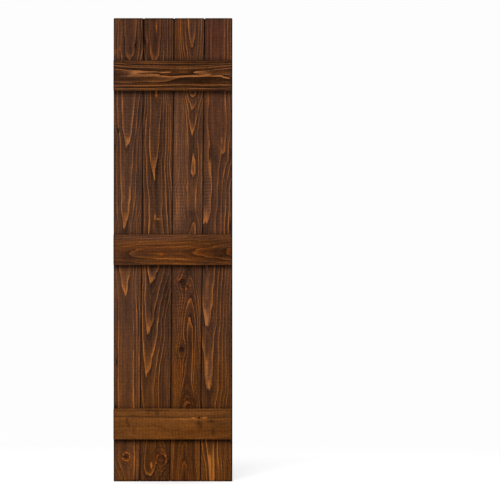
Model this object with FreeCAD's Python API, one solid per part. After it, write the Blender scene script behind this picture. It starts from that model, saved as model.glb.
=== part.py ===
"""Board and batten shutter: four upright boards side by side, tied by three cross battens on the face.

Millimetres, +Z up. The back of the boards lies on the plane Y = 0, against the wall, and the face looks
towards -Y. The origin is the centre of the back.
"""

import FreeCAD
import Part

import math
import os

# Panel: the four boards together, trimmed square on all four sides after assembly.
PANEL_WIDTH = 355.6
PANEL_HEIGHT = 1388.0

# Boards, of planed softwood with eased arrises. The joints between them lean a little, so the two outer
# boards, which take the trim, taper along their length.
BOARD_THICKNESS = 19.0
BOARD_PITCH = 90.8
BOARD_GAP = 0.6
CENTRE_JOINT_OFFSET = -2.7
JOINT_LEAN = 12.8
BOARD_ARRIS_RADIUS = 1.6

# Battens, cut to the panel's width and fastened on the face of the boards from behind.
BATTEN_WIDTH = 91.4
BATTEN_THICKNESS = 19.0
BATTEN_SETBACK = 127.0
BATTEN_ARRIS_RADIUS = 1.2

# Corners wear rounder than arrises: what a corner's radius has over that of the arrises that meet in it.
BOARD_CORNER_WEAR = 0.9
BATTEN_CORNER_WEAR = 0.3


def unit(start, end):
    """Direction from one point to the next, with length 1."""
    direction = end - start
    return direction.normalize()


def rounded_outline(corners, radius):
    """Closed wire through the corners, each of them rounded by a tangent arc."""
    edges = []
    arcs = []
    for i, corner in enumerate(corners):
        towards_last = unit(corner, corners[i - 1])
        towards_next = unit(corner, corners[(i + 1) % len(corners)])
        half_angle = towards_last.getAngle(towards_next) / 2
        tangent = radius / math.tan(half_angle)
        bisector = (towards_last + towards_next).normalize()
        middle = corner + bisector * (radius / math.sin(half_angle) - radius)
        arcs.append((corner + towards_last * tangent, middle, corner + towards_next * tangent))
    for i, (begin, middle, end) in enumerate(arcs):
        edges.append(Part.Arc(begin, middle, end).toShape())
        edges.append(Part.LineSegment(end, arcs[(i + 1) % len(arcs)][0]).toShape())
    return Part.Wire(edges)


def eased_plank(corners, back, thickness, arris_radius, corner_wear):
    """Plank with its outline given in X and Z, standing forward from Y = back, all its arrises eased."""
    points = [FreeCAD.Vector(x, back, z) for x, z in corners]
    face = Part.Face(rounded_outline(points, arris_radius + corner_wear))
    plank = face.extrude(FreeCAD.Vector(0, -thickness, 0))
    arrises = []
    for edge in plank.Edges:
        box = edge.BoundBox
        if box.YLength < arris_radius:
            arrises.append(edge)
    return plank.makeFillet(arris_radius, arrises)


def joint_at(number, height):
    """X of the middle of a joint, counted from the centre joint, at a height above the panel's middle."""
    return CENTRE_JOINT_OFFSET + number * BOARD_PITCH + JOINT_LEAN * height / PANEL_HEIGHT


def board(left_joint, right_joint):
    """Board between two joints. None stands for the panel's trimmed side."""
    half_height = PANEL_HEIGHT / 2

    def left_side(height):
        if left_joint is None:
            return -PANEL_WIDTH / 2
        return joint_at(left_joint, height) + BOARD_GAP / 2

    def right_side(height):
        if right_joint is None:
            return PANEL_WIDTH / 2
        return joint_at(right_joint, height) - BOARD_GAP / 2

    corners = [
        (left_side(-half_height), -half_height),
        (right_side(-half_height), -half_height),
        (right_side(half_height), half_height),
        (left_side(half_height), half_height),
    ]
    return eased_plank(corners, 0.0, BOARD_THICKNESS, BOARD_ARRIS_RADIUS, BOARD_CORNER_WEAR)


def batten(centre_height):
    """Batten lying on the face of the boards, across the whole panel."""
    half_length = PANEL_WIDTH / 2
    low = centre_height - BATTEN_WIDTH / 2
    high = centre_height + BATTEN_WIDTH / 2
    corners = [
        (-half_length, low),
        (half_length, low),
        (half_length, high),
        (-half_length, high),
    ]
    return eased_plank(corners, -BOARD_THICKNESS, BATTEN_THICKNESS, BATTEN_ARRIS_RADIUS, BATTEN_CORNER_WEAR)


def shutter():
    """All pieces by name."""
    outer_batten = PANEL_HEIGHT / 2 - BATTEN_SETBACK - BATTEN_WIDTH / 2
    return {
        "left_outer_board": board(None, -1),
        "left_inner_board": board(-1, 0),
        "right_inner_board": board(0, 1),
        "right_outer_board": board(1, None),
        "top_batten": batten(outer_batten),
        "middle_batten": batten(0.0),
        "bottom_batten": batten(-outer_batten),
    }


os.makedirs("parts", exist_ok=True)
for name, piece in shutter().items():
    piece.exportStep(f"parts/{name}.step")
    size = piece.BoundBox
    print(
        f"{name}: {size.XLength:.1f} x {size.YLength:.1f} x {size.ZLength:.1f} mm,"
        f" volume {piece.Volume / 1e3:.1f} cm3, valid {piece.isValid()}, solids {len(piece.Solids)}"
    )
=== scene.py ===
import bpy
import numpy as np
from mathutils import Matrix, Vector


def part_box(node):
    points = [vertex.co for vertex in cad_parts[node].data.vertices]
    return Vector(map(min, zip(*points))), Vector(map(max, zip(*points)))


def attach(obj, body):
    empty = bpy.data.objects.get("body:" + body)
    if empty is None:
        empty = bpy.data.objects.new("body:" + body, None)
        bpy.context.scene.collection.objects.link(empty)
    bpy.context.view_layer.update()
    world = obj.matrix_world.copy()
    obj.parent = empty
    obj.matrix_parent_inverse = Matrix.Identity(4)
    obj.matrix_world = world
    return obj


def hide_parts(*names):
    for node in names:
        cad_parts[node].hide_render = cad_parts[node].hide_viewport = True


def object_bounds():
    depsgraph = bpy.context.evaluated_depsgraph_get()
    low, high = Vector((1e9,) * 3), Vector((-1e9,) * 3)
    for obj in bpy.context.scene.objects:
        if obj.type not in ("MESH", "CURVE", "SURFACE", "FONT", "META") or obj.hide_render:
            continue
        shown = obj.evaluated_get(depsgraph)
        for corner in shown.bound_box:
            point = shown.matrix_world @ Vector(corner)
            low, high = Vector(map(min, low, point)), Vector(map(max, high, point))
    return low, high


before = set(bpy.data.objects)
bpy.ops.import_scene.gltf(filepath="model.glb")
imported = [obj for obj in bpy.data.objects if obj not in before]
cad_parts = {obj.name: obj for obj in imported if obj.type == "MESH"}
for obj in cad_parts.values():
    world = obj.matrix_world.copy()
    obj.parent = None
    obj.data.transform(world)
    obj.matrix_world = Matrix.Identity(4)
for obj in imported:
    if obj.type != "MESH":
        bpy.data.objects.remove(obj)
cad_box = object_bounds()


# Left outer board: the first of four upright boards of flat-sawn softwood, planed, eased along its arrises
# and stained dark brown. It is trimmed along its left side after assembly, so it tapers upwards, and screws
# from behind hold it to the three battens.

PIXEL = 0.002995  # metres of the boards' face that one pixel of the photo covers
PHOTO_MIDDLE = (250.0, 250.0)  # the photo's middle, in pixels across and down
MIDDLE_PLACE = (0.2306, -0.0007)  # X and Z of the place on the boards' face that shows there
BOARD_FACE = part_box("left_outer_board")[0].y
CAMERA_DISTANCE = 10.0  # from the boards' face

BOARD_STEP = (0.00105, 0.003, 0.005)  # spacing of the mesh across, through and along a board
BOARD_ARRIS = 0.0016
BOARD_WEAR = (0.85, 0.18)  # mean and drift of the worn arris radius, as shares of the sharp one
WEAR_LIMITS = (0.5, 1.3)
LEAST_ARRIS = 0.0005
BOARD_CORNER_WEAR = 0.0018  # what the arrises gain in radius at the head
FOOT_WEAR = 0.4  # the share of it that they gain at the foot
CORNER_REACH = 0.005  # how far from the ends they gain it
JOINT_SWELL = 0.00032  # boards swell until their sides meet
JOINT_SLOT = (0.0063, 0.009)  # depths from the face between which the open joints close
OPENING_ROWS = (40.0, 62.0)  # rows of the photo between which joints that stand open at the head close
JOINT_DIRT = (0.0006, 0.0024)  # dirt in the joints reaches this far from a board's side
JOINT_DIRT_TONE = 0.5
BATTEN_PAINTED_SHADE = [  # rows of the photo just above and below the battens where the boards get painted shade, for the shade the battens cast, half height, tone
    (59.2, 0.9, 0.15), (91.0, 1.1, 0.35),
    (233.8, 0.9, 0.15), (265.8, 1.1, 0.35),
    (407.5, 0.9, 0.15), (440.6, 1.1, 0.35),
]
BATTEN_SHADE_SPAN = (170, 400)  # middle across and half width of that painted shade, well past the panel's sides
TRIM_BAND = (0.0011, 0.0055)  # distances from the outer sides and the ends over which darker stain, and the painted shade on the right side, fade
TRIM_STAIN_AND_SHADE_TONE = (0.32, 0.32, 0.55)  # how much darker it lies at the ends, the left side and the right side; the right side's extra depth is painted shade, as that side faces away from the key
TRIM_WARMTH = 1.5  # what it gains in warmth for each step of tone
SCREW_SPREAD = (0.020, 0.022)  # from a board's middle and from a batten's middle
SCREW_DISH = (0.0050, 0.0009)  # radius and depth of the dish that a screw head is drawn into

PITH_DEPTH = 16.0  # pixels from the boards' face back to the middle of the stem
RING_WIDTH = 1.56  # pixels from ring to ring, away from the pith
RING_DEPTH = 2.0  # pixels from ring to ring through a board
RING_DRIFT = (0.08, 0.06)  # how far the rings waver, slowly and finely, in rings
RIPPLE_REACH = (0.8, 5.0)  # pixels across and along of the fine wavering
RING_KINDS = 60  # rings after which their boldness repeats
BOLDNESS = (0.15, 0.60)  # least and most boldness of the rings that none is chosen for
KNOT_FLOW = (1.9, 3.4)  # how far a knot turns the rings aside, in its radii across and along
KNOT_OVAL = 1.2  # length of a knot over its width
KNOT_UNEVEN = 0.12  # how far its outline wavers, as a share of its radius
NO_KNOT = 9.0  # distance that stands for no knot near
LATEWOOD_GROWS = ((0.52, 0.88), (0.72, 0.92))  # shares of a ring between which its latewood grows
LATEWOOD_ENDS = (0.965, 1.0)  # and between which it ends
LATEWOOD_RIDGE = 0.00014  # the hard part of each ring stands this proud once the soft part has worn
FLAT_FACE = (0.7, 1.0)  # share of its direction that points forward or back where ridges begin and are full
SWAY_WAVES = 12


def rise(value, low, high):
    """Smooth step: 0 below low, 1 above high, and 3 t squared less 2 t cubed between them."""
    t = np.clip((value - low) / (high - low), 0, 1)
    return t * t * (3 - 2 * t)


def in_photo(x, z, y):
    """Pixel across and down at which the camera sees a place on the plane Y = y, by similar triangles."""
    pixel = PIXEL * (CAMERA_DISTANCE + y - BOARD_FACE) / CAMERA_DISTANCE
    across = PHOTO_MIDDLE[0] + (x - MIDDLE_PLACE[0]) / pixel
    down = PHOTO_MIDDLE[1] - (z - MIDDLE_PLACE[1]) / pixel
    return across, down


def smooth_run(place, stations, values, window=7.0):
    """Values between stations: straight runs, with their corners rounded by the mean in a window."""
    shifts = np.linspace(-0.5, 0.5, 9) * window
    return np.mean([np.interp(place + shift, stations, values) for shift in shifts], axis=0)


def sway(across, along, seed, reach=(9.0, 60.0)):
    """Slow drift of about plus or minus 1: a sum of sine waves with seeded directions and phases."""
    draw = np.random.default_rng(seed)
    total = np.zeros_like(across)
    for _ in range(SWAY_WAVES):
        turns_across, turns_along = draw.normal(0, 1, 2)
        phase = draw.uniform(0, 2 * np.pi)
        total += np.sin(turns_across * across / reach[0] + turns_along * along / reach[1] + phase)
    return total / np.sqrt(SWAY_WAVES)


def patches(across, along, spots):
    """Sum of soft spots, each its amount times exp of minus the squared distance in half sizes.

    A spot is its middle across and along, its half sizes across and along, and its amount.
    """
    total = np.zeros_like(across)
    for spot_across, spot_along, half_across, half_along, amount in spots:
        u = (across - spot_across) / half_across
        v = (along - spot_along) / half_along
        total += amount * np.exp(-u * u - v * v)
    return total


def growth_rings(across, along, depth, seed, hearts, bold, eyes=(), knots=()):
    """Rings of a plank at places in pixels: their number and boldness, the place across the fibres that
    they flow along, the distance to the nearest knot in its own radii, and that knot's glow.

    A stem is a nest of slim cones. On a plank sawn past its pith, the ring number is the number on the
    heart line at that station, plus the extra distance to the pith, the root of u squared and its depth
    squared, counted in rings, where u is the distance from the heart line over the flare on that side. Of
    several heart lines the lowest number holds. An eye draws the number to its own one inside an oval, the
    depth below the face adds its rings, and each knot shrinks distances from its middle by 1 less a bell
    curve, so that the rings flow round it.

    A heart line is a list of stations: the place along, the middle across, the ring number there, and the
    flare to the left and to the right. bold gives some rings the strength of their latewood. An eye is its
    middle across and along, its half sizes and its number, and a knot its middle, its radius and its glow.
    """
    flowing = across.copy()
    for middle, station, radius, _ in knots:
        u = flowing - middle
        v = along - station
        flowing -= u * np.exp(-((u / radius / KNOT_FLOW[0]) ** 2) - (v / radius / KNOT_FLOW[1]) ** 2)
    knot = np.full_like(across, NO_KNOT)
    glow = np.zeros_like(across)
    uneven = 1 + KNOT_UNEVEN * sway(across, along, seed + 20, (1.5, 1.5))
    for middle, station, radius, amount in knots:
        away = np.hypot(across - middle, (along - station) / KNOT_OVAL) / radius * uneven
        glow = np.where(away < knot, amount, glow)
        knot = np.minimum(knot, away)

    ring = np.full_like(across, np.inf)
    for heart in hearts:
        stations, *runs = np.array(heart).T
        middle, number, left, right = (smooth_run(along, stations, run) for run in runs)
        u = flowing - middle
        u /= np.where(u < 0, left, right)
        ring = np.minimum(ring, number + (np.hypot(u, PITH_DEPTH) - PITH_DEPTH) / RING_WIDTH)
    for middle, station, half_across, half_along, number in eyes:
        inside = ((across - middle) / half_across) ** 2 + ((along - station) / half_along) ** 2
        ring += np.exp(-inside * inside) * (number - ring)
    ring += depth / RING_DEPTH
    ring += RING_DRIFT[0] * sway(flowing, along, seed)
    ring += RING_DRIFT[1] * sway(flowing, along, seed + 40, RIPPLE_REACH)

    boldness = np.random.default_rng(seed).uniform(*BOLDNESS, RING_KINDS)
    for number, strength in bold.items():
        boldness[number % RING_KINDS] = strength
    return {
        "ring": ring,
        "bold": boldness[np.floor(ring).astype(int) % RING_KINDS],
        "flowing": flowing,
        "knot": knot,
        "glow": glow,
    }


def ridges(ring, outward):
    """How proud the latewood stands on the face and the back: the ridge's height times the mean of two
    smooth steps that rise through the second half of a ring, cut off by a third where the next begins."""
    phase = ring % 1.0
    early, late = (rise(phase, *limits) for limits in LATEWOOD_GROWS)
    share = (0.5 * early + 0.5 * late) * (1 - rise(phase, *LATEWOOD_ENDS))
    return LATEWOOD_RIDGE * share * rise(np.abs(outward[:, 1]), *FLAT_FACE)


def spaced(length, step, ease, fine_places=(), fine_reach=0.008, fine_step=0.0012):
    """Places from 0 to length along one edge of a plank.

    Within the eased ends they stand at the tangents of equal angles, so the arris gets equal facets.
    Between, their density is 1 over the step, or 1 over the fine step near a fine place, summed and read at
    whole counts.
    """
    arris = ease * (1 - np.tan(np.radians([45, 36, 27, 18, 9])))
    run = np.linspace(ease, length - ease, 6000)
    density = np.full_like(run, 1 / step)
    for place in fine_places:
        density[np.abs(run - place) < fine_reach] = 1 / fine_step
    count = np.concatenate([[0], np.cumsum((density[1:] + density[:-1]) / 2 * np.diff(run))])
    between = np.interp(np.linspace(0, count[-1], int(np.ceil(count[-1])) + 1), count, run)
    return np.concatenate([arris, between, length - arris[::-1]])


def box_skin(stations):
    """Skin of a box of points that stand at the stations along each axis: their indices, places and faces.

    A point is given by its three indices. Each side of the box is a grid of two of them, and its four-sided
    faces run round the way that makes them look outward.
    """
    number = np.full([len(places) for places in stations], -1)
    inside = np.zeros(number.shape, bool)
    inside[1:-1, 1:-1, 1:-1] = True
    indices = np.argwhere(~inside)
    number[tuple(indices.T)] = np.arange(len(indices))
    sides = []
    for axis in range(3):
        for end in (0, -1):
            grid = number.take(end, axis)
            corners = [grid[:-1, :-1], grid[1:, :-1], grid[1:, 1:], grid[:-1, 1:]]
            if (end == 0) != (axis == 1):
                corners.reverse()
            sides.append(np.stack(corners, -1).reshape(-1, 4))
    box = np.stack([places[column] for places, column in zip(stations, indices.T)], 1)
    return indices, box, np.concatenate(sides)


def eased(box, size, radius):
    """Box with rounded arrises: each point of its skin goes back to the box that is smaller by the radius
    all round, and then out by the radius, straight away from that box. Returns points and directions."""
    radius = radius[:, None]
    core = np.clip(box, radius, size - radius)
    outward = box - core
    outward /= np.linalg.norm(outward, axis=1, keepdims=True)
    return core + radius * outward, outward


def new_piece(name, points, faces, material, carried):
    """Mesh object from points and faces, with named values that its material reads at each point."""
    mesh = bpy.data.meshes.new(name)
    mesh.from_pydata(points, [], faces)
    mesh.shade_smooth()
    for key, values in carried.items():
        kind, field = ("FLOAT", "value") if values.ndim == 1 else ("FLOAT_VECTOR", "vector")
        mesh.attributes.new(key, kind, "POINT").data.foreach_set(field, values.astype(np.float32).ravel())
    mesh.materials.append(material)
    piece = bpy.data.objects.new(name, mesh)
    bpy.context.scene.collection.objects.link(piece)
    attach(piece, "root")
    return piece


class Wire:
    """A socket in a material's nodes. Arithmetic on wires and numbers adds Math nodes."""

    def __init__(self, tree, socket=None):
        self.tree = tree
        self.socket = socket

    def node(self, kind, settings, sockets, output=0):
        """Adds a node: first its settings, then the values or wires of its sockets. Returns one output."""
        made = self.tree.nodes.new(kind)
        for name, value in settings.items():
            if name == "stops":
                elements = made.color_ramp.elements
                elements[0].position, elements[1].position = value[0][0], value[-1][0]
                for place, _ in value[1:-1]:
                    elements.new(place)
                for element, (_, colour) in zip(elements, value):
                    element.color = (*colour, 1)
            else:
                setattr(made, name, value)
        for name, value in sockets.items():
            if isinstance(value, Wire):
                self.tree.links.new(value.socket, made.inputs[name])
            else:
                made.inputs[name].default_value = value
        return Wire(self.tree, made.outputs[output])

    def into(self, socket):
        """Joins this wire to a socket of a node that is already there."""
        self.tree.links.new(self.socket, socket)

    def math(self, operation, *others):
        """Math node of this wire and the others."""
        return self.node("ShaderNodeMath", {"operation": operation}, dict(enumerate((self, *others))))

    def rise(self, low, high):
        """Smooth step from 0 at low to 1 at high."""
        limits = {"Value": self, "From Min": low, "From Max": high}
        return self.node("ShaderNodeMapRange", {"interpolation_type": "SMOOTHSTEP"}, limits)

    def band(self, begins, ends):
        """Smooth step up over the first limits, times 1 less the smooth step over the second."""
        return self.rise(*begins) * (1 - self.rise(*ends))

    def between(self, first, second):
        """Colour that goes from the first to the second as this wire goes from 0 to 1."""
        return self.node("ShaderNodeMix", {"data_type": "RGBA"}, {0: self, 6: first, 7: second}, 2)

    def __add__(self, other):
        return self.math("ADD", other)

    def __radd__(self, other):
        return self + other

    def __sub__(self, other):
        return self.math("SUBTRACT", other)

    def __rsub__(self, other):
        return self * -1 + other

    def __mul__(self, other):
        return self.math("MULTIPLY", other)

    def __rmul__(self, other):
        return self * other


def pigment(red, green, blue):
    """Linear colour of a tint given as the photo's 0 to 255 values, by the usual display curve."""
    share = np.array([red, green, blue]) / 255
    return tuple(np.where(share <= 0.04045, share / 12.92, ((share + 0.055) / 1.055) ** 2.4).tolist())


def ramp(*tints):
    """Stops of a colour ramp: the tints, dark to pale, at equal steps of the tone from 0 to 1."""
    return [(place, pigment(*tint)) for place, tint in zip(np.linspace(0, 1, len(tints)), tints)]


COOL_STAIN = ramp((34, 22, 16), (64, 42, 30), (86, 56, 40), (114, 72, 47), (157, 97, 54))
WARM_STAIN = ramp((36, 19, 6), (66, 36, 12), (92, 51, 16), (120, 69, 24), (162, 97, 40))
RED_STAIN = ramp((36, 19, 12), (67, 36, 25), (92, 50, 34), (121, 66, 41), (163, 92, 50))
ORANGE_STAIN = ramp((36, 17, 6), (67, 34, 12), (93, 48, 16), (124, 65, 22), (172, 93, 30))
KNIFE_TURNS = 640.0  # radians of the planer's knife marks in a metre, one mark every 10 mm
KNIFE_SWAY = 6.0  # radians by which they waver
THIN_LINES = 3.0  # faint lines in each ring
THIN_GROWS = (0.55, 0.9)  # shares of the way to the next one between which such a line grows
THIN_ENDS = (0.92, 1.0)  # and between which it ends
STREAKS = (160.0, 4.0, 4.0)  # mottling: changes in a metre across and along the fibres, and finer detail
FIBRES = (900.0, 24.0, 2.0)
CLOUDS = (26.0, 11.0, 2.0)
SPECKS = (300.0, 170.0, 1.0)
UNEVEN_LATEWOOD = (60.0, 6.0, 1.0)
UNEVEN_KNIVES = (30.0, 12.0, 1.0)
UNEVEN_RIM = (190.0, 190.0, 1.0)
GROUND_TONE = 0.23  # of the soft wood where a ring begins, on a scale from the darkest stain to the palest
RING_TONE = 0.16  # what the ring adds to it further on, and below, what the rest of the figure adds
LATEWOOD_TONE = 0.62
THIN_TONE = 0.12
STREAK_TONE = 0.75
FIBRE_TONE = 0.40
CLOUD_TONE = 0.35
SPECK_TONE = 0.40
KNIFE_TONE = 0.02
KNOT_CORE = (0.75, 1.10)  # distances from a knot's middle, in its radii, over which its core ends
KNOT_RIM = ((0.90, 1.10), (1.20, 1.60))  # over which its pale rim begins and ends
KNOT_SWIRL = ((1.0, 1.5), (1.8, 3.6))  # over which the swirls round it begin and end
KNOT_TURNS = (13.0, 7.5)  # radians in a radius of its own rings and of those swirls


def stained_softwood(name, cool, late_warmth=0.4):
    """Softwood under a thin dark stain: each ring's dense latewood takes less of it and shows brighter.

    A tone is added up from the ring's latewood, streaks and fibres along the grain, marks of the planer's
    knives and stains. Ramps turn the tone into a cool, a warm, a red and an orange brown, and the warmth
    and the blush mix them. The latewood adds to the warmth, or takes from it.
    """
    material = bpy.data.materials.new(name)
    material.use_nodes = True
    shader = material.node_tree.nodes["Principled BSDF"]
    wood = Wire(material.node_tree)

    def carried(key, output="Fac"):
        """What the mesh carries by this name at each point."""
        return wood.node("ShaderNodeAttribute", {"attribute_name": key}, {}, output)

    fibres_run = carried("grain", "Vector")

    def mottle(across, along, detail):
        """Noise about 0 that changes so many times in a metre across and along the fibres."""
        scale = {0: fibres_run, 1: (across, across, along)}
        place = wood.node("ShaderNodeVectorMath", {"operation": "MULTIPLY"}, scale)
        return wood.node("ShaderNodeTexNoise", {}, {"Vector": place, "Scale": 1.0, "Detail": detail}) - 0.5

    ring = carried("ring")
    phase = ring.math("FRACT")
    early, late = (phase.rise(*limits) for limits in LATEWOOD_GROWS)
    late = (0.5 * early + 0.5 * late) * (1 - phase.rise(*LATEWOOD_ENDS))
    late *= carried("bold") * (1 + 1.8 * mottle(*UNEVEN_LATEWOOD))
    figured = 1 - carried("plain")
    late *= figured
    counted = THIN_LINES * ring
    thin = counted.math("FRACT").band(THIN_GROWS, THIN_ENDS)
    thin *= wood.node("ShaderNodeTexWhiteNoise", {"noise_dimensions": "1D"}, {"W": counted.math("FLOOR")})

    streaks = mottle(*STREAKS) * (0.35 + 0.65 * figured)
    fibres = mottle(*FIBRES)
    clouds = mottle(*CLOUDS)
    specks = mottle(*SPECKS)
    along = wood.node("ShaderNodeSeparateXYZ", {}, {0: fibres_run}, "Z")
    knives = (along * KNIFE_TURNS + KNIFE_SWAY * mottle(*UNEVEN_KNIVES)).math("SINE")
    tone = GROUND_TONE + RING_TONE * phase.rise(0.0, 0.35)
    tone += LATEWOOD_TONE * late
    tone += THIN_TONE * thin * figured
    tone += carried("stain")
    tone += STREAK_TONE * streaks + FIBRE_TONE * fibres + CLOUD_TONE * clouds + SPECK_TONE * specks
    tone += knives * (KNIFE_TONE + carried("chatter"))

    knot = carried("knot")
    core = 1 - knot.rise(*KNOT_CORE)
    rim = knot.band(*KNOT_RIM) * (0.9 + 4.0 * mottle(*UNEVEN_RIM))
    glow = carried("glow")
    rim *= glow
    rounds = (knot * KNOT_TURNS[0]).math("SINE")
    heartwood = 0.02 + glow * (0.30 - 0.09 * knot.rise(0.5, 0.9)) + 0.05 * rounds
    heartwood += 0.8 * fibres + 0.8 * specks
    swirl = (knot * KNOT_TURNS[1]).math("SINE") * knot.band(*KNOT_SWIRL)
    tone = tone * (1 - core) + core * heartwood + 0.45 * rim + 0.11 * swirl
    warmth = carried("warmth") + late_warmth * late + 1.0 * rim + core * (0.7 * glow - 0.6) + 0.6 * clouds
    blush = carried("blush") + 0.4 * core + 0.8 * rim

    def brown(stops):
        """Colour of the tone on a ramp with these stops."""
        return wood.node("ShaderNodeValToRGB", {"stops": stops}, {0: tone})

    cooler = blush.between(brown(cool), brown(RED_STAIN))
    warmer = blush.between(brown(WARM_STAIN), brown(ORANGE_STAIN))
    warmth.between(cooler, warmer).into(shader.inputs["Base Color"])
    (0.70 - 0.10 * late + 0.25 * fibres).into(shader.inputs["Roughness"])
    shader.inputs["Specular IOR Level"].default_value = 0.03
    height = {"Strength": 0.5, "Distance": 0.0004, "Height": fibres + 0.5 * streaks}
    wood.node("ShaderNodeBump", {}, height).into(shader.inputs["Normal"])
    return material


def screw_places(node):
    """X and Z of a board's six screws, two to a batten, set slantwise about the board's middle."""
    low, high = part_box(node)
    places = []
    for batten in ("top_batten", "middle_batten", "bottom_batten"):
        foot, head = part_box(batten)
        for side in (-1, 1):
            x = (low.x + high.x) / 2 + side * SCREW_SPREAD[0]
            z = (foot.z + head.z) / 2 + side * SCREW_SPREAD[1]
            places.append((x, z))
    return places


def trim_stain_and_shade(from_end, from_left, from_right, outward):
    """Darker stain along the trimmed edges, deepened by painted shade on the right side, which faces away
    from the key:
    each edge's tone times 1 less the smooth step of the distance to it. The sides darken the face and the
    back only, the ends their end grain too. The darkest holds."""
    facing = rise(np.abs(outward[:, 1]), 0.0, 0.7)
    edges = zip((from_end, from_left, from_right), TRIM_STAIN_AND_SHADE_TONE, (1, facing, facing))
    near = [(1 - rise(away, *TRIM_BAND)) * tone * share for away, tone, share in edges]
    return np.max(near, axis=0)


def stain_looks(rings, across, along, spots, trim_and_shade, dirt_and_painted_shade=0.0):
    """What a plank's material reads at each point, by name: its rings and knots, and sums of soft spots.

    The spots differ from plank to plank. They say where the figure fades to plain, where the planer's
    knives chatter, and where the stain lies paler, warmer or redder. Darker stain at the trimmed edges,
    with painted shade on the right side, dirt in the joints and painted shade along the battens darken it.
    """
    looks = {key: rings[key] for key in ("ring", "bold", "knot", "glow")}
    for key in ("plain", "chatter", "stain", "warmth", "blush"):
        looks[key] = patches(across, along, spots.get(key, ()))
    looks["plain"] = np.clip(looks["plain"], 0, 1)
    looks["stain"] = looks["stain"] - trim_and_shade - dirt_and_painted_shade
    looks["warmth"] = looks["warmth"] + TRIM_WARMTH * trim_and_shade
    return looks


def board(node, seed, trimmed, opening, hearts, bold, knots=(), **spots):
    """One board: an eased box that leans with its joints, with its rings, stains and dents.

    X is the left side's place at that height plus a share of the width there, which is how the joints lean.
    Then each point moves outward by the ridges of its rings, and at the joints by the boards' swelling, and
    inward at each screw by the dish's depth times exp of minus the fourth power of the distance in radii.

    trimmed is -1 or 1 for a left or right side that was trimmed, or 0, and opening says how far the joints
    to the left and right stand open at the head. The figure is in pixels across and down the photo.
    """
    low, high = (np.array(corner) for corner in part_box(node))
    corners = np.array([vertex.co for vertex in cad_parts[node].data.vertices])
    lower = corners[corners[:, 2] < 0]
    upper = corners[corners[:, 2] > 0]
    mean_width = (np.ptp(lower[:, 0]) + np.ptp(upper[:, 0])) / 2
    size = np.array([mean_width, *(high - low)[1:]])
    screws = screw_places(node)

    ease = BOARD_ARRIS + BOARD_CORNER_WEAR
    stations = [
        spaced(size[0], BOARD_STEP[0], ease),
        spaced(size[1], BOARD_STEP[1], ease),
        spaced(size[2], BOARD_STEP[2], ease, [z - low[2] for _, z in screws]),
    ]
    indices, box, faces = box_skin(stations)
    from_end = np.minimum(box[:, 2], size[2] - box[:, 2])
    wear = BOARD_WEAR[0] + BOARD_WEAR[1] * sway(indices[:, 0] * 1.0, box[:, 2] / PIXEL, seed, (1.0, 12.0))
    corner_wear = BOARD_CORNER_WEAR * np.where(box[:, 2] > size[2] / 2, 1.0, FOOT_WEAR)
    corner_wear *= np.exp(-((from_end / CORNER_REACH) ** 2))
    radius = BOARD_ARRIS * np.clip(wear, *WEAR_LIMITS) + corner_wear
    points, outward = eased(box, size, np.clip(radius, LEAST_ARRIS, ease))

    share = points[:, 0] / size[0]
    height = points[:, 2] / size[2]
    left = lower[:, 0].min() + height * (upper[:, 0].min() - lower[:, 0].min())
    right = lower[:, 0].max() + height * (upper[:, 0].max() - lower[:, 0].max())
    points[:, 0] = left + share * (right - left)
    points[:, 1] += low[1]
    points[:, 2] += low[2]

    across, down = in_photo(points[:, 0], points[:, 2], BOARD_FACE)
    depth = (points[:, 1] - BOARD_FACE) / PIXEL
    rings = growth_rings(across, down, depth, seed, hearts, bold, knots=knots)

    sideways = outward[:, 0] * (np.sign(outward[:, 0]) != trimmed)
    open_depth = 1 - rise(points[:, 1] - BOARD_FACE, *JOINT_SLOT)
    gaps = np.where(sideways < 0, *opening) * (1 - rise(down, *OPENING_ROWS))
    relief = ridges(rings["ring"], outward)
    relief += rise(np.abs(sideways), 0.9, 1.0) * JOINT_SWELL * (1 - open_depth)
    points[:, 0] -= np.sign(sideways) * rise(np.abs(sideways), 0.0, 0.5) * open_depth * gaps
    for x, z in screws:
        away = np.hypot(points[:, 0] - x, points[:, 2] - z)
        relief -= SCREW_DISH[1] * np.exp(-((away / SCREW_DISH[0]) ** 4)) * (outward[:, 1] > 0.5)
    points += outward * relief[:, None]

    far = np.full(len(box), 1.0)
    from_left, from_right = box[:, 0], size[0] - box[:, 0]
    from_joint = {-1: from_right, 0: np.minimum(from_left, from_right), 1: from_left}[trimmed]
    left_trim = from_left if trimmed < 0 else far
    right_trim = from_right if trimmed > 0 else far
    # Darker stain along a trimmed side and the ends; on a trimmed right side the deeper tone is painted
    # shade.
    trim_and_shade = trim_stain_and_shade(from_end, left_trim, right_trim, outward)
    dirt_and_painted_shade = JOINT_DIRT_TONE * (1 - rise(from_joint, *JOINT_DIRT))
    # Painted shade: the boards' faces darken in rows just above and below each batten, where the battens
    # shade them, on top of the dirt in the joints.
    batten_shade_lines = [(BATTEN_SHADE_SPAN[0], row, BATTEN_SHADE_SPAN[1], half, tone) for row, half, tone in BATTEN_PAINTED_SHADE]
    dirt_and_painted_shade += patches(across, down, batten_shade_lines) * (outward[:, 1] < 0)
    looks = stain_looks(rings, across, down, spots, trim_and_shade, dirt_and_painted_shade)
    looks["grain"] = np.stack([rings["flowing"] * PIXEL, points[:, 1], points[:, 2]], 1)
    piece = new_piece(node + "_stained", points, faces, stained_board, looks)
    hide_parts(node)


stained_board = stained_softwood("stained_board", COOL_STAIN)

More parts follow.
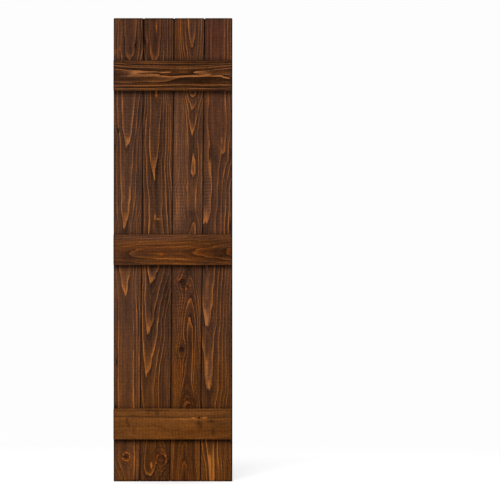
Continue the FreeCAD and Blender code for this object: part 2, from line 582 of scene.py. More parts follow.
board(
    "left_outer_board", seed=1, trimmed=-1, opening=(0, 0.002),
    hearts=[[
        (18, 130.3, 0.5, 1.2, 1.4), (44, 130, 0.56, 1.1, 1.18), (54, 129.8, 0.7, 1.1, 1.15),
        (58.6, 129.5, 1, 1.1, 1.1), (91, 128.5, 1.4, 1.25, 1.3), (121, 127.4, 1.57, 1.15, 1.12),
        (130, 127.4, 1.7, 1.1, 1.08), (138, 127.5, 1.85, 0.95, 1), (145.6, 127, 2, 1, 1),
        (153, 126.6, 2.3, 1.1, 1.1), (175, 126, 2.48, 1.15, 1.15), (200, 125.9, 2.62, 1.12, 1.12),
        (213, 125, 2.76, 1.05, 1.05), (222, 124.9, 2.88, 0.9, 0.9), (231, 124.5, 3, 0.95, 0.95),
        (267, 124.9, 3.4, 1.06, 1), (280, 124.9, 3.66, 1, 0.95), (294.8, 125.1, 4, 1, 1),
        (315, 125.6, 4.3, 1.25, 1.25), (345, 126, 4.4, 1.45, 1.4), (441, 127, 4.45, 1.6, 1.42),
        (465, 127, 4.5, 1.4, 1.45), (481, 128, 4.75, 0.8, 1.7),
    ]],
    knots=[(135.3, 45, 1.2, 0.05), (126.3, 456.8, 3, 0.95)],
    bold={0: 0.5, 1: 0.8, 2: 0.8, 3: 0.75, 4: 0.45, 5: 0.5},
    plain=[
        (130, 30, 16, 16, 0.35), (129.8, 44, 3, 10, 0.6), (125, 350, 5, 50, 0.6), (128, 110, 3, 20, 0.4),
        (118, 168, 4, 28, 0.5), (136, 165, 4, 30, 0.4), (125, 205, 2.5, 16, 0.4),
    ],
    chatter=[(128, 120, 14, 60, 0.03)],
    stain=[
        (128, 250, 30, 80, 0.03), (128, 462, 14, 20, 0.05), (130, 35, 16, 22, -0.07),
        (129.5, 56, 3, 2, 0.12), (138, 38, 5, 20, -0.16), (128, 118, 4, 24, -0.05),
        (138, 160, 4, 25, -0.09), (126, 358, 6, 45, 0.13), (135, 463, 3, 16, 0.14),
        (118.4, 130.4, 0.9, 2, -0.75), (119.3, 133, 0.5, 1, 0.25), (114.6, 146, 0.8, 4, -0.3),
        (119.6, 48.3, 0.6, 2.2, 0.45), (130, 50, 2.4, 5, -0.1), (115.4, 30, 0.6, 14, 0.3),
        (118.5, 28, 0.6, 14, 0.3), (121.5, 30, 0.6, 15, 0.35), (125.2, 27, 0.5, 10, 0.16),
        (126.4, 21, 0.5, 4, -0.3), (117.1, 30, 0.6, 14, -0.25), (120.2, 30, 0.5, 14, -0.25),
        (137, 32, 0.5, 12, -0.12), (135.6, 30, 0.6, 12, 0.22), (138.5, 32, 0.6, 14, 0.28),
        (140.4, 32, 0.8, 14, -0.35), (135.5, 45.3, 0.7, 0.9, -0.4), (137.2, 45.3, 0.7, 0.9, 0.35),
        (134, 44.4, 0.7, 0.8, 0.2), (116.8, 362, 1, 4, -0.4), (115, 407, 1.5, 3, -0.4),
        (143.6, 38, 1, 24, -0.4), (115.5, 51.5, 1.3, 3.2, 0.38), (127.6, 140.5, 2, 4.5, 0.34),
        (125.2, 289, 1.8, 6, 0.12), (125, 218, 1.8, 8, -0.12), (127.8, 211, 0.7, 3, 0.15),
        (133.8, 340, 0.6, 75, 0.28), (136.5, 345, 0.5, 75, 0.26), (139.5, 330, 0.6, 75, 0.3),
        (135.1, 340, 0.5, 75, -0.18), (138.1, 340, 0.5, 75, -0.18), (120.8, 360, 0.6, 50, 0.14),
        (118, 350, 0.5, 60, 0.12), (134.4, 462, 0.6, 22, 0.25), (137.2, 462, 0.7, 22, 0.3),
        (135.8, 462, 0.5, 22, -0.15),
    ],
    warmth=[
        (128, 35, 30, 30, 0.14), (128, 215, 30, 20, 0.08), (127.6, 141, 3, 6, 0.2),
        (128, 480, 40, 150, 0.68), (116, 51, 3, 4, 0.6), (137, 45, 2, 1.5, 0.5),
    ],
    blush=[(131, 40, 8, 16, 0.3), (116, 51, 3, 4, 0.7), (137, 45, 2, 1.5, 0.5)],
)


# Left inner board: the second upright board, of the same timber and screwed on in the same way, with a wide
# figure above and a steep one below the middle batten, and a large knot near its foot. Both its sides meet
# the boards beside it.

board(
    "left_inner_board", seed=2, trimmed=0, opening=(0.0006, 0.0004),
    hearts=[[
        (18, 155, -0.55, 1.2, 1.1), (47, 154.8, -0.45, 1.2, 1.12), (54, 154.7, -0.32, 1.2, 1.15),
        (59, 154.8, -0.18, 1.2, 1.15), (63, 154.8, 0, 1.2, 1.15), (75, 155.5, 0.5, 0.9, 0.8),
        (92, 156, 0.88, 0.8, 0.7), (99.4, 156.4, 1, 0.85, 0.75), (108, 156, 1.2, 0.9, 0.85),
        (120, 155.2, 1.36, 0.97, 0.92), (140, 153.7, 1.45, 1.06, 1.06), (151, 153.9, 1.56, 1.04, 1.04),
        (162, 153.6, 1.78, 1.02, 1.02), (171, 153.9, 1.92, 1.05, 1.05), (184.4, 154.5, 2, 1.1, 1.12),
        (197, 155, 2.25, 1.12, 1.2), (214, 155, 2.36, 1.15, 1.3), (233, 155, 2.3, 1.2, 1.4),
        (250, 153, 1.4, 0.8, 1.5), (267, 151.3, 1.45, 0.75, 1.55), (276, 151.3, 1.75, 0.75, 1.5),
        (283.5, 151.2, 2, 0.8, 1.4), (301, 149.7, 2.42, 0.88, 1.3), (322, 148.6, 2.85, 0.8, 1.2),
        (331.5, 148.3, 3, 0.82, 1.3), (346, 147.6, 3.42, 0.83, 1.33), (363, 146.9, 3.8, 0.8, 1.2),
        (372.7, 146.6, 4, 0.8, 1.2), (390, 147, 4.4, 0.9, 1.2), (408, 148, 4.5, 0.9, 1.2),
        (441, 149.5, 5.3, 0.5, 1.1), (462, 150, 5.3, 0.9, 1.5), (469, 150, 5.48, 1.05, 1.45),
        (475, 150, 6, 1.2, 1.5), (482, 150, 6.5, 1.2, 1.5),
    ]],
    knots=[(145, 41.8, 1.6, 0.02), (161.2, 459.7, 4.4, 0.75)],
    bold={-2: 0.5, -1: 0.75, 0: 0.8, 1: 0.9, 2: 0.8, 3: 0.85, 4: 0.7, 5: 0.9},
    plain=[
        (156, 30, 14, 14, 0.6), (155, 46, 3, 9, 0.7), (172.5, 40, 1.2, 26, 0.8), (155, 125, 4.5, 25, 0.6),
        (156, 207, 5, 16, 0.5), (168.5, 281, 3.5, 20, 0.7), (155, 452, 1.8, 15, 0.9),
    ],
    chatter=[(156, 150, 14, 60, 0.03)],
    stain=[
        (156, 360, 20, 45, -0.05), (158, 35, 16, 22, -0.22), (158, 163, 14, 26, -0.19),
        (158, 208, 8, 24, -0.13), (167, 292, 5, 26, -0.17), (156, 295, 10, 30, -0.14),
        (160, 463, 12, 17, -0.2), (156, 110, 12, 24, -0.06), (160, 226, 5, 6, -0.18),
        (151.3, 465.3, 0.8, 2.5, 1.7), (155.6, 472.5, 1.2, 1.6, 0.25), (158, 469.8, 1.8, 1.2, 0.22),
        (148.5, 328, 1.6, 5, 0.2), (156.4, 27, 0.9, 7, 0.75), (144.4, 40, 1, 22, -0.4),
        (144.7, 43.3, 0.8, 1.2, -0.6), (145.4, 40, 0.9, 1.8, -0.35), (147.3, 40.5, 0.9, 2.5, 0.36),
        (150.8, 51, 0.6, 4, 0.22), (152.4, 57.5, 0.7, 3, 0.25), (158.7, 54.5, 0.6, 4, 0.16),
        (145.3, 52, 0.8, 6, -0.35), (152.8, 51, 1, 6, -0.15), (159.2, 51, 0.7, 6, 0.3),
        (160.4, 33, 0.7, 13, 0.4), (162.3, 33, 0.6, 14, 0.2), (165.4, 33, 0.6, 14, 0.3),
        (153, 33, 2, 12, 0.12), (155, 216.8, 0.7, 3, 0.8), (158, 218.9, 2, 0.6, 0.75),
        (154, 225, 1, 5, 0.2), (156.4, 94.5, 1.3, 3.2, 0.85), (155.2, 197, 1.2, 16, 0.12),
        (147, 38, 2.5, 5, 0.1),
    ],
    warmth=[
        (155, 120, 60, 110, 0.22), (155, 470, 60, 150, 0.85), (156.4, 95, 2, 5, 1),
        (151.4, 465, 2, 4, 0.6), (156.4, 27, 2, 9, 0.5), (156, 222, 6, 8, 0.4), (151.5, 54, 2, 7, 0.4),
        (159, 53, 1.5, 7, 0.3),
    ],
    blush=[
        (157, 36, 14, 20, 0.5), (147, 42, 3, 4, 0.7), (161, 460, 6, 6, 0.6), (151.4, 465, 2, 4, 0.6),
        (156.4, 27, 2, 9, 0.2), (156.4, 96, 2, 5, 0.3),
    ],
)


# Right inner board: the third upright board, cut closer to the pith, so that its rings close into narrow
# spindles above the middle batten and open into arches with four small knots below it.

board(
    "right_inner_board", seed=3, trimmed=0, opening=(0.0003, 0.0028),
    hearts=[[
        (18, 192, 0.55, 0.85, 0.85), (33, 192, 0.62, 0.85, 0.85), (37, 192, 0.78, 0.85, 0.85),
        (44, 192, 0.92, 0.85, 0.85), (48.5, 192, 1.03, 0.85, 0.85), (58, 192.3, 1.3, 0.8, 0.8),
        (92, 192.6, 1.5, 0.7, 0.9), (97, 192.6, 2, 0.7, 0.9), (106.5, 192.6, 3, 0.7, 0.9),
        (116, 192.7, 3.35, 0.7, 0.85), (125, 192.7, 3.72, 0.7, 0.75), (133.4, 192.7, 4, 0.75, 0.75),
        (143, 193, 4.14, 0.8, 0.8), (152, 193.4, 4.08, 0.8, 0.8), (160, 193.4, 3.93, 0.8, 0.8),
        (170, 193.3, 3.85, 0.8, 0.8), (176, 193.3, 3.92, 0.85, 0.75), (180, 193.3, 4.1, 0.85, 0.7),
        (188, 193, 4.25, 1.1, 0.66), (200, 193, 4.45, 1.02, 0.55), (213, 193.3, 4.35, 1.05, 0.62),
        (220.5, 193.9, 4, 0.8, 0.75), (226, 193.9, 3.7, 0.72, 0.72), (235, 192, 3.5, 0.75, 0.75),
        (275, 187.5, 3, 0.75, 0.75), (299, 190.5, 2, 0.8, 0.8), (317, 190, 1, 0.8, 0.75),
        (330, 190, 0.6, 0.8, 0.7), (350, 189.5, 0.4, 0.75, 0.62), (374, 188.5, 0.3, 0.65, 0.6),
        (380.5, 187.4, 0, 0.6, 0.6), (392, 187.2, -1, 0.6, 0.6), (401, 188, -2, 0.6, 0.6),
        (441, 184.7, -3, 0.7, 0.7), (461.6, 184.2, -4, 0.65, 0.65), (477, 184.7, -5, 0.65, 0.65),
    ]],
    knots=[
        (182.4, 282, 3.4, 0.1), (188, 286.4, 2.2, 0.7), (181.6, 349.5, 3.1, 0.05),
        (188.4, 407, 2.9, 0.45),
    ],
    bold={-5: 0.4, -4: 0.4, -3: 0.4, -2: -0.3, -1: -0.3, 0: 0.9, 1: 0.85, 2: 0.75, 3: 0.8, 4: 0.7},
    plain=[
        (192, 28, 5, 12, 0.4), (192, 42, 5, 8, 0.3), (193.3, 168, 1, 7, 0.7), (189, 274, 5, 8, 0.8),
        (193, 213, 6, 5, 0.5), (194, 227, 4, 7, 0.5), (181.6, 350, 5, 10, 0.7),
    ],
    chatter=[(178, 200, 6, 30, 0.06), (178, 306, 6, 14, 0.06)],
    stain=[
        (188, 40, 20, 20, -0.05), (190.1, 45.8, 0.7, 2.4, -0.3), (194, 45.8, 0.7, 2.4, -0.3),
        (188, 380, 20, 110, -0.03), (177.5, 150, 6, 75, 0.15), (201.4, 173, 0.7, 32, 0.3),
        (186.4, 150, 0.7, 25, 0.3), (183.6, 112, 0.7, 9, 0.2), (186.9, 203, 0.8, 8, 0.3),
        (196.2, 198, 0.8, 8, 0.25), (193.5, 155, 0.6, 4, 0.4), (192.8, 158, 1.4, 10, 0.15),
        (177, 207, 5.5, 25, 0.22), (190, 205, 10, 25, 0.06), (193, 213.5, 6, 4, -0.15),
        (188, 290, 5, 17, -0.15), (197, 295, 4, 22, -0.08), (190, 335, 10, 25, -0.17),
        (196, 385, 4, 22, -0.1), (189, 272, 4, 5, -0.1), (195.6, 401, 4, 6, -0.1), (185, 283, 6, 8, -0.1),
        (178.7, 279.6, 1.3, 1.6, 0.45), (176, 388, 5, 18, 0.07),
    ],
    warmth=[
        (188, 110, 60, 130, 0.22), (188, 470, 60, 165, 1.02), (178, 45, 10, 25, 0.4),
        (177, 170, 6, 75, -0.5), (179, 279.7, 2, 4, 0.5), (176, 385, 5, 22, 0.2), (188.4, 406, 4, 5, 0.5),
    ],
    blush=[
        (176, 380, 6, 28, 0.35), (182, 40, 12, 26, 0.3), (188, 360, 12, 40, 0.35),
        (179, 280.5, 3, 4, 0.9), (186, 300, 10, 22, 0.4), (188.5, 400, 6, 8, 0.5),
        (186, 470, 10, 18, 0.4),
    ],
)


# Right outer board: the last upright board, trimmed along its right side, so it tapers downwards. Its heart
# runs near the joint, so most rings show on one side only, spreading to the right, and a blunt tongue of
# grain ends beside them above the middle batten.

board(
    "right_outer_board", seed=4, trimmed=1, opening=(0.0014, 0),
    hearts=[[
        (18, 203.3, 1.35, 1.2, 1.3), (60, 203.3, 1.3, 1.2, 1.2), (80, 203.3, 0.63, 1.2, 1.2),
        (130, 203.3, 0.64, 1.2, 1.25), (140, 203.3, 0.72, 1.2, 1.6), (150, 203.3, 0.8, 1.2, 2.3),
        (160, 203.3, 0.71, 1.2, 2.1), (172, 203.3, 0.64, 1.2, 1.85), (185, 203.3, 0.47, 1.2, 1.62),
        (200, 203.3, 0.49, 1.2, 1.6), (212, 203.4, 0.64, 1.2, 1.6), (217, 203.9, 0.84, 1.2, 1.58),
        (221, 205, 1.06, 1.2, 1.55), (228, 205.5, 1.2, 1.2, 1.55), (250, 206, 1, 1.2, 1.4),
        (268, 206, 1.15, 0.8, 1.35), (290, 206, 1.55, 0.8, 1.3), (301, 206.1, 1.67, 0.8, 1.3),
        (318, 206.3, 1.9, 0.9, 1.3), (327, 206.4, 2, 1, 1.3), (335, 207.2, 2.5, 1.1, 1.3),
        (352, 208, 2.73, 1.1, 1.3), (370, 208.5, 2.84, 1.1, 1.3), (383, 208.8, 2.94, 1.1, 1.3),
        (390.5, 208.9, 3, 1.1, 1.3), (400, 208.8, 3.25, 1.1, 1.2), (441, 210.3, 3.6, 1, 0.85),
        (455, 210.6, 3.83, 0.9, 0.9), (465, 211.2, 3.88, 0.72, 1), (481, 211.7, 3.9, 0.7, 1),
    ], [
        (18, 218.5, 1.3, 2.2, 1.02), (60, 218.5, 1.25, 2.2, 1.02), (92, 219, 1.2, 2.2, 1.02),
        (115, 221, 1.35, 2.2, 1.03), (135, 222.6, 1.55, 2, 0.85), (145, 223, 1.75, 1.6, 0.75),
        (153.5, 223.2, 2, 1.3, 0.75), (165, 223.2, 2.6, 1, 1), (175, 223, 9, 1, 1), (481, 223, 9, 1, 1),
    ]],
    bold={0: 0.6, 1: 0.7, 2: 0.8, 3: 1, 4: 0.9, 5: 0.6},
    plain=[
        (212, 37, 14, 22, 0.2), (225, 36, 2, 20, 0.4), (217, 100, 6, 50, 0.6), (230, 110, 2, 35, 0.5),
        (205, 112, 2.4, 32, 0.9), (216, 215, 4, 25, 0.3), (224, 300, 7, 40, 0.4), (217, 385, 5, 25, 0.6),
        (206.5, 268, 2, 4, 0.8), (202.5, 402, 1.5, 9, 0.8), (205.3, 150, 2.6, 14, 0.75),
        (216.5, 134, 3.6, 13, 0.85),
    ],
    chatter=[(208, 190, 4, 20, 0.1)],
    stain=[
        (212, 37, 9, 20, -0.13), (216, 112, 12, 26, 0.07), (217, 208, 4, 25, -0.12),
        (206.6, 298, 3.4, 26, 0.3), (206.4, 304, 1.9, 4.5, -0.22), (208, 284, 1.6, 13, 0.12),
        (206.5, 347, 3, 11, -0.12), (206.5, 316, 2, 5, 0.08), (208.5, 368, 2.5, 15, 0.1),
        (221, 295, 9, 24, -0.1), (222, 385, 8, 22, -0.08), (213, 464, 8, 16, 0.29),
        (221.7, 141, 0.9, 3, 0.4), (216, 162, 10, 20, -0.05), (210.2, 161, 1, 5, -0.22),
        (230.2, 215, 0.8, 3, 0.35), (229, 219.5, 0.7, 3, 0.25), (228.2, 225, 0.7, 4, 0.2),
        (227.3, 193, 0.7, 4, 0.2), (217, 160, 14, 80, -0.025), (210.6, 449, 2.2, 6, -0.2),
        (212, 468, 0.5, 13, -0.45), (214, 466, 0.6, 18, 0.12), (215.8, 458, 0.6, 18, -0.15),
        (221.3, 460, 0.5, 22, 0.16), (225.3, 460, 0.5, 22, 0.16), (223.3, 460, 0.5, 22, -0.08),
        (207.5, 38, 0.6, 26, 0.38), (209.2, 38, 0.5, 26, -0.12), (210.9, 40, 0.6, 24, 0.36),
        (230.3, 38, 0.6, 26, 0.15), (227.5, 38, 0.5, 26, 0.3), (225, 38, 0.6, 26, 0.3),
        (230.5, 158, 1.5, 10, -0.2), (230.5, 226, 1.5, 7, -0.25), (206, 213, 2.5, 7, 0.26),
        (206.5, 320, 1.8, 6, 0.25), (208.9, 384, 1.8, 6, 0.32), (203.9, 319, 0.9, 4, -0.2),
        (209.5, 320, 0.9, 4, -0.25), (204.9, 324, 0.8, 2.5, -0.3), (208.6, 324.5, 0.9, 2, -0.35),
        (205.6, 381, 0.9, 4, -0.25), (211.9, 381, 0.9, 4, -0.25), (206.7, 386, 0.9, 2.5, -0.3),
        (210.7, 386, 0.9, 2.5, -0.3),
    ],
    warmth=[
        (215, 115, 60, 80, 0.18), (215, 460, 60, 150, 0.92), (207, 200, 5, 40, -0.3),
        (206, 317, 4, 8, -0.75), (209, 375, 5, 20, -0.3),
    ],
    blush=[
        (215, 37, 16, 24, 0.85), (215, 115, 14, 40, 0.35), (217, 250, 14, 50, 0.3),
        (223, 456, 5, 20, 0.3),
    ],
)


# Top batten: the first of three cross pieces of the same stock, laid flat across the face of the boards and
# cut to the panel's width. Screws through the boards from behind hold it. Its rings are bold.

BATTEN_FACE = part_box("top_batten")[0].y
BATTEN_STEP = (0.0025, 0.003, 0.0009)  # spacing of the mesh along, through and across a batten
BATTEN_ARRIS = 0.0012
BATTEN_WEAR = (0.9, 0.2)  # mean and drift of its worn radius, as shares of the sharp one
BATTEN_CORNER_WEAR = 0.0003


def batten(node, slot, material, seed, hearts, bold, eyes=(), knots=(), **spots):
    """One batten: an eased box whose grain runs along X, with its rings and stains.

    The figure is in pixels down and across the photo.
    """
    low, high = (np.array(corner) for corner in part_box(node))
    size = high - low
    ease = BATTEN_ARRIS * WEAR_LIMITS[1] + BATTEN_CORNER_WEAR
    stations = [spaced(length, step, ease) for length, step in zip(size, BATTEN_STEP)]
    indices, box, faces = box_skin(stations)
    wear = BATTEN_WEAR[0] + BATTEN_WEAR[1] * sway(indices[:, 2] * 1.0, box[:, 0] / PIXEL, seed, (1.0, 10.0))
    points, outward = eased(box, size, np.clip(BATTEN_ARRIS * wear, LEAST_ARRIS, ease))
    points += low

    along, across = in_photo(points[:, 0], points[:, 2], BATTEN_FACE)
    depth = (points[:, 1] - BATTEN_FACE) / PIXEL
    rings = growth_rings(across, along, depth, seed, hearts, bold, eyes, knots)
    points += outward * ridges(rings["ring"], outward)[:, None]

    from_left, from_right = box[:, 0], size[0] - box[:, 0]
    # Darker stain at the batten's ends, deepened by painted shade at its right end.
    trim_and_shade = trim_stain_and_shade(np.minimum(from_left, from_right), from_left, from_right, outward)
    looks = stain_looks(rings, across, along, spots, trim_and_shade)
    looks["grain"] = np.stack([rings["flowing"] * PIXEL, points[:, 1], points[:, 0]], 1)
    piece = new_piece(node + "_stained", points, faces, material, looks)
    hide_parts(node)


bold_batten = stained_softwood("bold_batten", COOL_STAIN, late_warmth=-0.45)

batten(
    "top_batten", "dark_batten", bold_batten, seed=5,
    hearts=[[
        (113, 72.6, 1.4, 0.85, 0.85), (125, 72.4, 1.6, 0.75, 0.75), (134, 72.3, 1.78, 0.65, 0.65),
        (150, 72.2, 1.86, 0.62, 0.62), (162, 72, 1.88, 0.58, 0.58), (168, 71.9, 1.93, 0.55, 0.55),
        (173.7, 71.9, 2.05, 0.55, 0.55), (183, 72, 2.3, 0.6, 0.6), (190, 72.1, 2.15, 0.6, 0.6),
        (193.3, 72.2, 1.98, 0.6, 0.6), (197, 72.2, 1.88, 0.6, 0.55), (205, 72.3, 1.8, 0.62, 0.52),
        (218, 72, 1.55, 0.65, 0.52), (232, 71.4, 1.4, 0.7, 0.55),
    ], [
        (113, 75.2, 1.6, 0.6, 0.6), (134, 74.9, 1.8, 0.6, 0.6), (150, 74.8, 1.89, 0.55, 0.55),
        (158.9, 74.7, 2, 0.55, 0.55), (170, 74.7, 2.5, 0.55, 0.55), (232, 74.7, 2.9, 0.55, 0.55),
    ], [
        (113, 78.5, 1.65, 0.65, 0.9), (150, 78.4, 1.67, 0.65, 0.9), (162, 78.1, 1.74, 0.65, 0.93),
        (173, 77.5, 1.85, 0.65, 1), (185, 76.3, 1.93, 0.6, 1.12), (195, 75.7, 1.96, 0.55, 1.22),
        (205, 75.2, 1.96, 0.5, 1.3), (218, 74.7, 1.96, 0.5, 1.35), (224, 76.6, 1.96, 0.45, 1.15),
        (232, 80, 1.97, 0.45, 0.75),
    ]],
    eyes=[(80.7, 203, 3.9, 26, 2.2)],
    bold={0: 0.8, 1: 1.15, 2: 1.25, 3: 1, 4: 0.2, 5: 0.4, 6: 0.4, 7: 0.3},
    plain=[(79, 138, 2.2, 36, 0.8), (74, 120, 5, 8, 0.3)],
    stain=[
        (75, 173, 60, 100, -0.2), (73, 150, 2.2, 18, 0.24), (79, 128, 4, 20, -0.06),
        (80.8, 204, 3, 24, -0.05), (73.5, 122, 3.5, 14, 0.1), (71.8, 181, 2.2, 10, 0.13),
        (72, 226, 3, 8, 0.15), (75, 220, 1.2, 5, -0.14), (74.4, 203, 0.7, 16, -0.14),
        (63, 160, 3, 22, 0.06), (63, 120, 3, 14, -0.12), (63, 215, 3, 25, -0.1),
        (74.6, 187, 0.8, 14, -0.12), (68, 174.6, 0.7, 0.7, -0.3), (65.3, 120, 0.9, 12, 0.25),
        (66.6, 140, 0.9, 14, 0.25), (67.4, 165, 0.9, 18, 0.28), (67.5, 190, 0.9, 14, 0.25),
        (66.4, 212, 0.9, 12, 0.25), (65.5, 228, 0.9, 8, 0.2), (61.3, 180, 0.4, 60, 0.26),
        (63.2, 173, 0.4, 80, 0.4), (64.4, 173, 0.6, 80, -0.3), (60.3, 173, 0.5, 80, -0.25),
        (85.3, 200, 0.8, 28, 0.2), (86, 140, 0.7, 30, 0.15), (87.4, 173, 1, 80, -0.2),
        (89.6, 150, 0.5, 70, 0.4), (62.2, 173, 0.4, 80, -0.28), (68.2, 145, 0.7, 20, -0.18),
    ],
    warmth=[
        (75, 173, 60, 100, 0.82), (65, 155, 4, 22, -0.18), (78, 212, 12, 24, 0.25),
        (72.5, 145, 4, 24, -0.1),
    ],
)


# Middle batten: the same cross piece at half height, screwed on from behind like the top one. Long tongues
# of grain point to the left on it, and a greyer band runs along its top edge.

dark_batten = stained_softwood("dark_batten", COOL_STAIN)

batten(
    "middle_batten", "dark_batten", dark_batten, seed=6,
    hearts=[[
        (113, 252.8, 3.45, 1.05, 1.25), (130.5, 252.8, 3, 1.05, 1.25), (140, 252.6, 2.7, 1.05, 1.25),
        (155, 252.5, 2.5, 1.05, 1.25), (175, 252.5, 2.4, 1.05, 1.2), (192.8, 252.2, 2, 1.05, 1.2),
        (203, 251.8, 1.7, 1.05, 1.2), (215, 251.5, 1.5, 1.05, 1.2), (225, 251.3, 1, 1.05, 1.2),
        (232, 251.3, 0.7, 1.05, 1.2),
    ]],
    bold={0: 0.4, 1: 0.45, 2: 0.34, 3: 0.35, 4: 0.3},
    plain=[(250, 173, 60, 100, 0.2)],
    stain=[
        (242, 155, 6, 40, 0.18), (256, 218, 9, 18, -0.12), (251, 217, 3.5, 7, -0.12),
        (247.1, 150, 0.6, 12, 0.34), (246.4, 172, 0.6, 15, 0.34), (248.8, 136.5, 0.7, 3, 0.3),
        (251.5, 132.2, 0.9, 1.5, 0.2), (247.3, 207, 1.2, 5, -0.12), (258.5, 219, 2, 8, -0.1),
        (245.4, 155, 0.6, 22, -0.14), (258, 130, 5, 13, -0.15), (254, 175, 8, 25, 0.05),
        (254.3, 161.2, 1.3, 3.5, 0.3), (252.4, 201, 2, 6, -0.1), (258.5, 175, 0.7, 25, 0.2),
        (260, 172, 2.5, 22, 0.08),
    ],
    warmth=[
        (250, 173, 60, 100, 0.8), (237.5, 160, 3, 55, -0.65), (252, 218, 20, 28, 0.2),
        (258, 128, 10, 20, -0.1), (252.4, 200, 4, 8, 0.4), (254.3, 161.2, 2, 4, 0.4),
        (252, 227, 3, 5, 0.4),
    ],
    blush=[
        (252, 175, 14, 60, 0.4), (248, 145, 3, 20, 0.4), (252.4, 200, 6, 12, 0.6),
        (254.3, 161.2, 3, 5, 0.6), (252, 227, 4, 6, 0.6),
    ],
)


# Bottom batten: a plainer, curly cross piece of the same stock, fixed like the others. The stain stayed
# thinner and more golden on it, and a pin knot sits to the right of its middle.

GOLDEN_STAIN = ramp((36, 21, 9), (66, 39, 18), (92, 55, 24), (120, 72, 31), (160, 98, 46))

golden_batten = stained_softwood("golden_batten", GOLDEN_STAIN)

batten(
    "bottom_batten", "golden_batten", golden_batten, seed=7,
    hearts=[[(113, 428, 0.4, 1.8, 1.8), (173, 428, 0.5, 1.8, 1.8), (232, 428, 0.45, 1.8, 1.8)]],
    knots=[(417.8, 199.3, 1.2, 0.5)],
    bold={0: 0.3, 1: 0.3, 2: 0.3},
    plain=[(424, 173, 60, 100, 0.75)],
    chatter=[(424, 173, 60, 100, 0.01)],
    stain=[
        (424, 173, 60, 100, 0.25), (428, 222, 14, 20, -0.14), (431, 173, 6, 25, -0.04),
        (435, 195, 4, 30, -0.07), (412, 160, 3, 20, -0.07), (416.6, 173, 0.8, 60, -0.12),
        (419.4, 158, 0.8, 35, 0.12), (410.3, 153, 1, 9, -0.3), (413.5, 157.2, 2.8, 1.5, -0.28),
        (412, 148, 2.5, 1.2, -0.15), (420.5, 126.8, 2.8, 1.2, -0.28), (425, 128.6, 2.6, 1.2, -0.32),
        (430, 134, 4, 1.4, -0.2), (423, 198.4, 2.8, 1.8, -0.34), (426, 200.6, 2.8, 1.8, -0.32),
        (421, 211, 1.8, 4, -0.24), (432, 213, 3.5, 1.3, -0.3), (417.8, 193.5, 0.7, 2.5, 0.6),
        (417.6, 205, 0.7, 2.2, 0.6),
    ],
    warmth=[(434, 195, 14, 70, 1.1)],
)


# Screws: zinc-plated wood screws, two through each board into each batten. Their countersunk heads with
# six-lobed recesses are drawn a little below the back of the boards.

HEAD_SEGMENTS = 48
RECESS_LOBES = 6
HEAD_PROFILE = np.array([  # radius, height above the rim and depth of the lobes, from the recess outwards
    (0.0006, -0.0017, 0.00),
    (0.0019, -0.0016, 0.16),
    (0.0021, -0.0002, 0.16),
    (0.0023, 0.0000, 0.15),
    (0.0037, 0.0000, 0.00),
    (0.0041, -0.0001, 0.00),
    (0.0042, -0.0003, 0.00),
    (0.0040, -0.0005, 0.00),
    (0.0020, -0.0026, 0.00),
    (0.0004, -0.0040, 0.00),
])
HEAD_SINK = 0.0004  # below the back of the boards


def screw_heads(places):
    """All heads in one mesh: the profile carried round by angle, its radius times 1 plus the lobes' depth
    times the cosine of six turns, with a point that closes the recess and one that closes the cone."""
    turn = np.linspace(0, 2 * np.pi, HEAD_SEGMENTS, endpoint=False)
    radius, height, lobe = HEAD_PROFILE.T[:, :, None]
    radius = radius * (1 + lobe * np.cos(RECESS_LOBES * turn))
    rings = np.stack([radius * np.cos(turn), height + 0 * turn, radius * np.sin(turn)], -1).reshape(-1, 3)
    poles = np.array([(0, HEAD_PROFILE[0, 1], 0), (0, HEAD_PROFILE[-1, 1], 0)])
    head = np.concatenate([rings, poles])

    number = np.arange(len(rings)).reshape(len(HEAD_PROFILE), HEAD_SEGMENTS)
    following = np.roll(number, -1, axis=1)
    walls = np.stack([number[:-1], following[:-1], following[1:], number[1:]], -1).reshape(-1, 4)
    recess = np.stack([following[0], number[0], np.full(HEAD_SEGMENTS, len(rings))], -1)
    cone = np.stack([number[-1], following[-1], np.full(HEAD_SEGMENTS, len(rings) + 1)], -1)

    offsets = np.array([(x, -HEAD_SINK, z) for x, z in places])
    points = (offsets[:, None] + head).reshape(-1, 3)
    starts = np.arange(len(places))[:, None, None] * len(head)
    faces = []
    for group in (walls, recess, cone):
        faces += (starts + group).reshape(-1, group.shape[1]).tolist()
    return points, faces


def zinc_plate():
    """Dull zinc: a grey metal, its roughness and tint clouded by fine noise."""
    material = bpy.data.materials.new("zinc_plate")
    material.use_nodes = True
    shader = material.node_tree.nodes["Principled BSDF"]
    shader.inputs["Metallic"].default_value = 1.0
    zinc = Wire(material.node_tree)
    place = zinc.node("ShaderNodeTexCoord", {}, {}, "Object")
    cloud = zinc.node("ShaderNodeTexNoise", {}, {"Vector": place, "Scale": 900.0, "Detail": 3.0})
    dull, bright = ((*pigment(*tint), 1) for tint in ((150, 148, 140), (188, 188, 184)))
    cloud.between(dull, bright).into(shader.inputs["Base Color"])
    (0.32 + 0.25 * cloud).into(shader.inputs["Roughness"])
    return material


all_screws = []
for node in ("left_outer_board", "left_inner_board", "right_inner_board", "right_outer_board"):
    all_screws += screw_places(node)
new_piece("screws", *screw_heads(all_screws), zinc_plate(), {})


# Floor: a pale studio floor that the shutter stands on for its picture. It takes the shadow near the
# shutter and goes over into plain white further off, like the backdrop, which is the world itself.

FLOOR_REACH = 8.0  # from its middle to each side
FLOOR_POINTS = 17  # points of its mesh along a side
FLOOR_FADE = (0.25, 2.0)  # distances from the shutter between which the floor goes over into white
FLOOR_WHITE = 0.70  # share of the light that it gives back
FLOOR_LIFT = 0.475  # what the floor near the shutter shines by itself, so that it looks nearly white
WHITE_LEVEL = 0.982  # how bright the backdrop looks


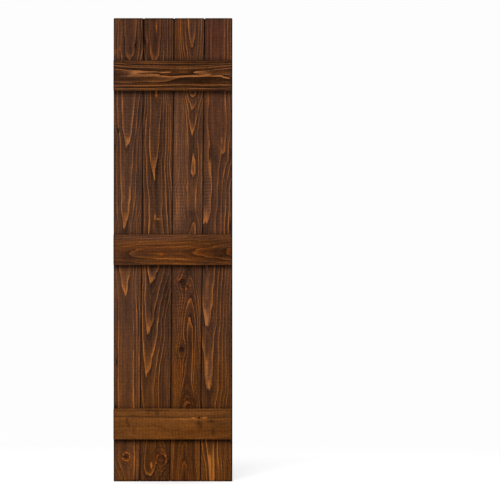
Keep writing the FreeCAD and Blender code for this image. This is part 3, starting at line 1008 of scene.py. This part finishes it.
def seen_directly(nodes):
    """1 for rays from the camera, mirrors and clear things, 0 for rays that carry light."""
    path = [nodes.node("ShaderNodeLightPath", {}, {}, name) for name in
            ("Is Camera Ray", "Is Glossy Ray", "Is Transmission Ray")]
    return path[0].math("MAXIMUM", path[1]).math("MAXIMUM", path[2])


floor_material = bpy.data.materials.new("studio_floor")
floor_material.use_nodes = True
floor_material.node_tree.nodes.remove(floor_material.node_tree.nodes["Principled BSDF"])
ground = Wire(floor_material.node_tree)
spot = ground.node("ShaderNodeTexCoord", {}, {}, "Object")
flat_spot = ground.node("ShaderNodeVectorMath", {"operation": "MULTIPLY"}, {0: spot, 1: (1, 1, 0)})
far = ground.node("ShaderNodeVectorMath", {"operation": "LENGTH"}, {0: flat_spot}, 1).rise(*FLOOR_FADE)
seen = seen_directly(ground)
matt = ground.node("ShaderNodeBsdfDiffuse", {}, {"Color": (FLOOR_WHITE,) * 3 + (1,)})
lift = ground.node("ShaderNodeEmission", {}, {"Strength": FLOOR_LIFT * seen})
near_floor = ground.node("ShaderNodeAddShader", {}, {0: matt, 1: lift})
white = ground.node("ShaderNodeEmission", {}, {"Strength": WHITE_LEVEL})
mixed = ground.node("ShaderNodeMixShader", {}, {0: far * seen, 1: near_floor, 2: white})
mixed.into(floor_material.node_tree.nodes["Material Output"].inputs["Surface"])

floor_level = cad_box[0].z
side_places = np.linspace(-FLOOR_REACH, FLOOR_REACH, FLOOR_POINTS)
floor_x, floor_y = np.meshgrid(side_places, side_places, indexing="ij")
floor_points = np.stack([floor_x, floor_y, np.full_like(floor_x, floor_level)], -1).reshape(-1, 3)
cells = np.arange(FLOOR_POINTS**2).reshape(FLOOR_POINTS, FLOOR_POINTS)
floor_faces = np.stack([cells[:-1, :-1], cells[1:, :-1], cells[1:, 1:], cells[:-1, 1:]], -1).reshape(-1, 4)
floor_mesh = bpy.data.meshes.new("floor")
floor_mesh.from_pydata(floor_points, [], floor_faces)
floor_mesh.materials.append(floor_material)
floor = bpy.data.objects.new("floor", floor_mesh)
bpy.context.scene.collection.objects.link(floor)


# Light: an even room light all round, a broad soft key from above the camera, which shades the boards under
# each batten, and two weak lamps that fill the back and the sides.

AMBIENT = 0.25

world = bpy.data.worlds.new("studio")
bpy.context.scene.world = world
world.use_nodes = True
sky = Wire(world.node_tree)
backdrop = {"Color": (1, 1, 1, 1), "Strength": AMBIENT + (WHITE_LEVEL - AMBIENT) * seen_directly(sky)}
sky.node("ShaderNodeBackground", {}, backdrop).into(world.node_tree.nodes["World Output"].inputs["Surface"])


def soft_sun(name, strength, breadth, azimuth, elevation):
    """Lamp so far off that it lights the shutter evenly. Azimuth 0 shines along +Y, from the front."""
    lamp = bpy.data.lights.new(name, "SUN")
    lamp.energy = strength
    lamp.angle = np.radians(breadth)
    shining = bpy.data.objects.new(name, lamp)
    shining.rotation_euler = (np.radians(90 - elevation), 0, np.radians(azimuth))
    bpy.context.scene.collection.objects.link(shining)


soft_sun("key", strength=2.40, breadth=36, azimuth=-9, elevation=36)
soft_sun("back_left", strength=1.0, breadth=40, azimuth=180 - 50, elevation=20)
soft_sun("back_right", strength=1.0, breadth=40, azimuth=180 + 50, elevation=20)


# Camera: level and square to the face, at the height of the shutter's middle and off to its right, so that
# the shutter stands left of the picture's middle, as in the photo.

PHOTO_WIDTH = 500  # pixels

lens = bpy.data.cameras.new("camera")
lens.sensor_width = 36.0
lens.lens = lens.sensor_width * CAMERA_DISTANCE / (PHOTO_WIDTH * PIXEL)
lens.clip_end = 100.0
camera = bpy.data.objects.new("camera", lens)
camera.location = (MIDDLE_PLACE[0], BOARD_FACE - CAMERA_DISTANCE, MIDDLE_PLACE[1])
camera.rotation_euler = (np.radians(90), 0, 0)
bpy.context.scene.collection.objects.link(camera)
bpy.context.scene.camera = camera
bpy.context.scene.view_settings.view_transform = "Standard"
